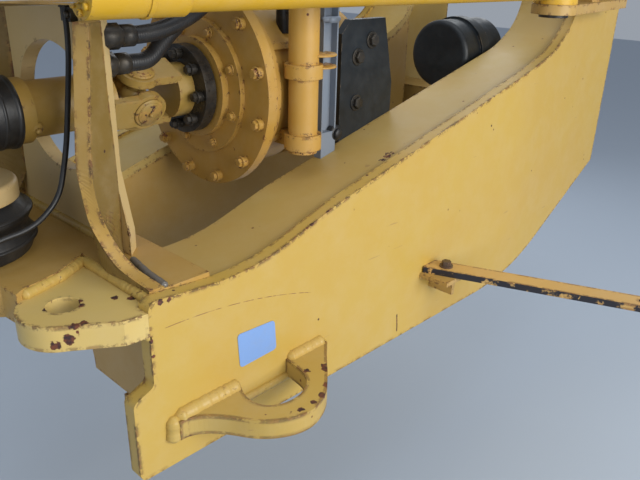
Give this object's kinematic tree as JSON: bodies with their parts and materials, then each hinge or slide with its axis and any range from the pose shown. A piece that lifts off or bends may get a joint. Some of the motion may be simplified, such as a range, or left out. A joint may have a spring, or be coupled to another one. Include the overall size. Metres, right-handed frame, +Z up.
{
  "type": "articulated wheel loader rear frame front section",
  "caption": "Front section of a loader's rear frame with hinge plates, box beams, drive shaft joint, transmission case, steering cylinders and lashing lugs.",
  "frame": {"origin": "on the articulation axis, at the top face of the lower hinge plate, in its bore", "axes": "+X forward, +Y to the machine's left, +Z up along the hinge axis"},
  "size_m": [2.2809, 1.4799, 0.9293],
  "materials": {
    "yellow_paint": "semi-gloss, chipped",
    "black_paint": "satin",
    "black_rubber": "matt",
    "dark_steel": "oily",
    "chrome": "polished",
    "aluminium": "satin"
  },
  "bodies": {
    "rear_frame": {"beam_floor_left": "yellow_paint", "beam_floor_right": "yellow_paint", "beam_top_left": "yellow_paint", "beam_top_right": "yellow_paint", "beam_web_left": "yellow_paint", "beam_web_right": "yellow_paint", "belly_plate": "yellow_paint", "brace_bar": "yellow_paint", "brace_bolt": "dark_steel", "brace_bracket": "yellow_paint", "bulkhead": "yellow_paint", "cable_clamp": "dark_steel", "filler_column": "yellow_paint", "filter_bracket": "black_paint", "filter_cylinder": "black_paint", "hinge_boot": "black_rubber", "hinge_cap": "yellow_paint", "hose_lower": "black_rubber", "hose_ports": "dark_steel", "hose_upper": "black_rubber", "lock_ear_left": "yellow_paint", "lock_ear_right": "yellow_paint", "lower_hinge_plate": "yellow_paint", "mount_plate_left": "black_paint", "mount_plate_right": "black_paint", "output_ring": "yellow_paint", "rear_cross_member": "yellow_paint", "sensor_cable": "black_rubber", "side_plate_left": "yellow_paint", "side_plate_right": "yellow_paint", "sight_gauge": "aluminium", "steer_bracket_left": "yellow_paint", "steer_bracket_right": "yellow_paint", "steer_pin_left": "dark_steel", "steer_pin_right": "dark_steel", "tie_down_lug_left": "yellow_paint", "tie_down_lug_right": "yellow_paint", "transmission_case": "yellow_paint", "upper_hinge_plate": "yellow_paint", "upper_rib_left": "yellow_paint", "upper_rib_right": "yellow_paint", "wing_left": "yellow_paint", "wing_right": "yellow_paint"},
    "drive_line": {"shaft_tube_yoke": "yellow_paint", "shaft_sleeve": "black_rubber", "joint_cross": "yellow_paint", "flange_yoke": "yellow_paint", "output_flange": "dark_steel"},
    "steer_barrel_left": {"steer_barrel_left": "yellow_paint"},
    "steer_barrel_right": {"steer_barrel_right": "yellow_paint"},
    "steer_rod_left": {"steer_rod_left": "chrome"},
    "steer_rod_right": {"steer_rod_right": "chrome"}
  },
  "joints": [
    {"name": "shaft_spin", "type": "hinge", "parent": "rear_frame", "child": "drive_line", "pos_m": [-0.391, 0, 0.246], "axis": [1, 0, 0], "continuous": true},
    {"name": "steer_swing_left", "type": "hinge", "parent": "rear_frame", "child": "steer_barrel_left", "pos_m": [-1.378, 0.447, 0.478], "axis": [0, 0, 1], "range_deg": [-3, 3]},
    {"name": "steer_extend_left", "type": "slide", "parent": "steer_barrel_left", "child": "steer_rod_left", "axis": [0.9955, -0.0948, 0], "range_m": [-0.2, 0.2]},
    {"name": "steer_swing_right", "type": "hinge", "parent": "rear_frame", "child": "steer_barrel_right", "pos_m": [-1.378, -0.447, 0.478], "axis": [0, 0, -1], "range_deg": [-3, 3]},
    {"name": "steer_extend_right", "type": "slide", "parent": "steer_barrel_right", "child": "steer_rod_right", "axis": [0.9955, 0.0948, 0], "range_m": [-0.2, 0.2]}
  ]
}
